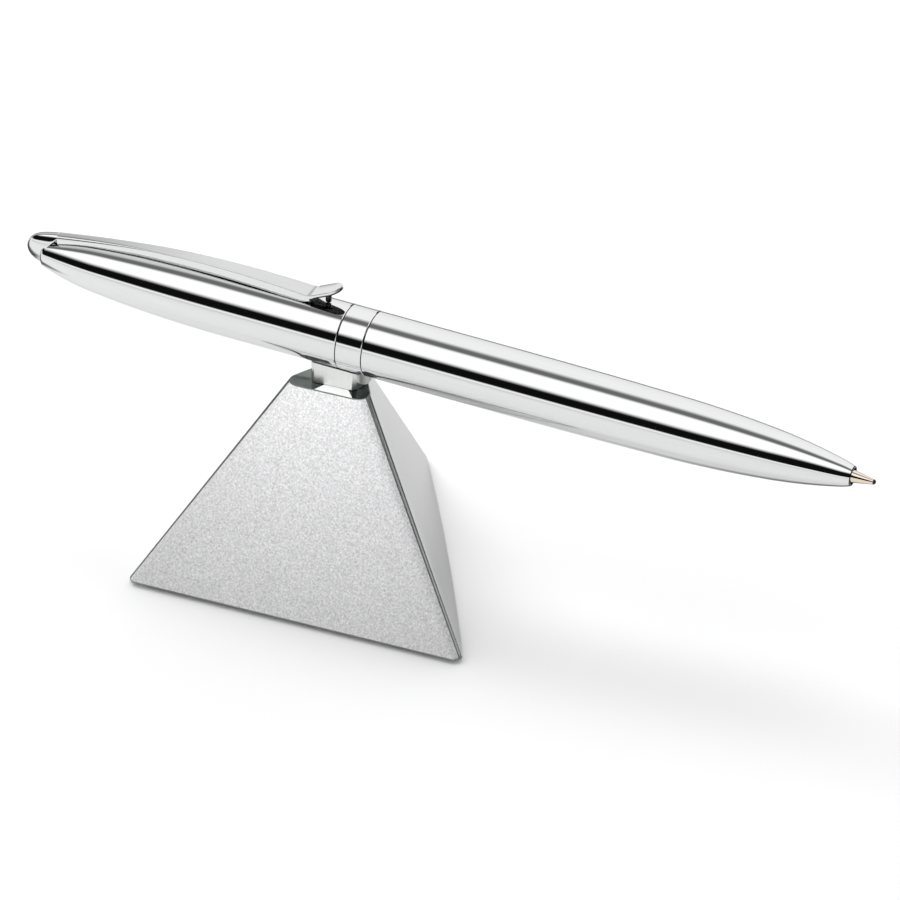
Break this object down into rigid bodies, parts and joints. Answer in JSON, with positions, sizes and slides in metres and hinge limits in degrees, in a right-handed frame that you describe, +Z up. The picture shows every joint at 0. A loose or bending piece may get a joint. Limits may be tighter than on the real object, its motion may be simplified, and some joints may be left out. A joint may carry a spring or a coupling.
{
  "type": "magnetic desk pen stand with ballpoint pen",
  "caption": "Desk pen stand: truncated three-sided metal pyramid with a magnetic cradle post on top that holds a chromed twist-action ballpoint pen.",
  "frame": {"origin": "on the surface that the stand rests on, under the middle of the frustum, on the lower face of the rubber pad", "axes": "+Z up, +X along the length of the pen towards its tip, -Y towards the bead-blasted front face"},
  "size_m": [0.1363, 0.0495, 0.0493],
  "materials": {
    "body_metal": "plated casting, front face bead-blasted, rear faces, edges and top polished",
    "bright_chrome": "bright chrome plate",
    "plain_steel": "bare turned or rolled steel",
    "turned_brass": "turned brass",
    "copper_tip": "turned copper-coloured alloy",
    "magnet_nickel": "nickel-plated magnet",
    "moulded_plastic": "plain moulded plastic",
    "ink": "viscous ballpoint ink",
    "pad_rubber": "thin matt rubber sheet"
  },
  "bodies": {
    "stand": {"pyramid_body": "body_metal", "base_plate": "plain_steel", "base_plate_screws": "plain_steel", "base_pad": "pad_rubber", "post": "bright_chrome", "magnet": "magnet_nickel", "post_washer": "plain_steel", "post_screw": "plain_steel"},
    "pen": {"lower_barrel": "bright_chrome", "centre_band": "bright_chrome", "barrel_bush": "turned_brass", "guide_sleeve": "plain_steel"},
    "cap": {"upper_barrel": "bright_chrome", "crown": "bright_chrome", "clip_ring": "bright_chrome", "cam_sleeve": "moulded_plastic"},
    "clip": {"clip_strap": "bright_chrome"},
    "refill": {"drive_plunger": "moulded_plastic", "drive_pin": "plain_steel", "refill_plug": "moulded_plastic", "refill_tube": "turned_brass", "ink_column": "ink", "refill_tip": "copper_tip", "writing_ball": "plain_steel"}
  },
  "joints": [
    {"name": "pen_lift", "type": "slide", "parent": "stand", "child": "pen", "axis": [0.0523, 0, 0.9986], "range_m": [0, 0.06]},
    {"name": "cap_twist", "type": "hinge", "parent": "pen", "child": "cap", "pos_m": [0.0005, 0.0014, 0.0408], "axis": [0.9986, 0, -0.0523], "range_deg": [0, 110]},
    {"name": "refill_slide", "type": "slide", "parent": "pen", "child": "refill", "axis": [0.9986, 0, -0.0523], "range_m": [-0.0055, 0]},
    {"name": "clip_flex", "type": "hinge", "parent": "cap", "child": "clip", "pos_m": [-0.04763, 0.0014, 0.04625], "axis": [0, -1, 0], "range_deg": [0, 3], "stiffness_Nm_per_rad": 0.5}
  ],
  "couplings": [
    {"joint": "refill_slide", "follows": "cap_twist", "m_per_rad": -0.002864}
  ]
}
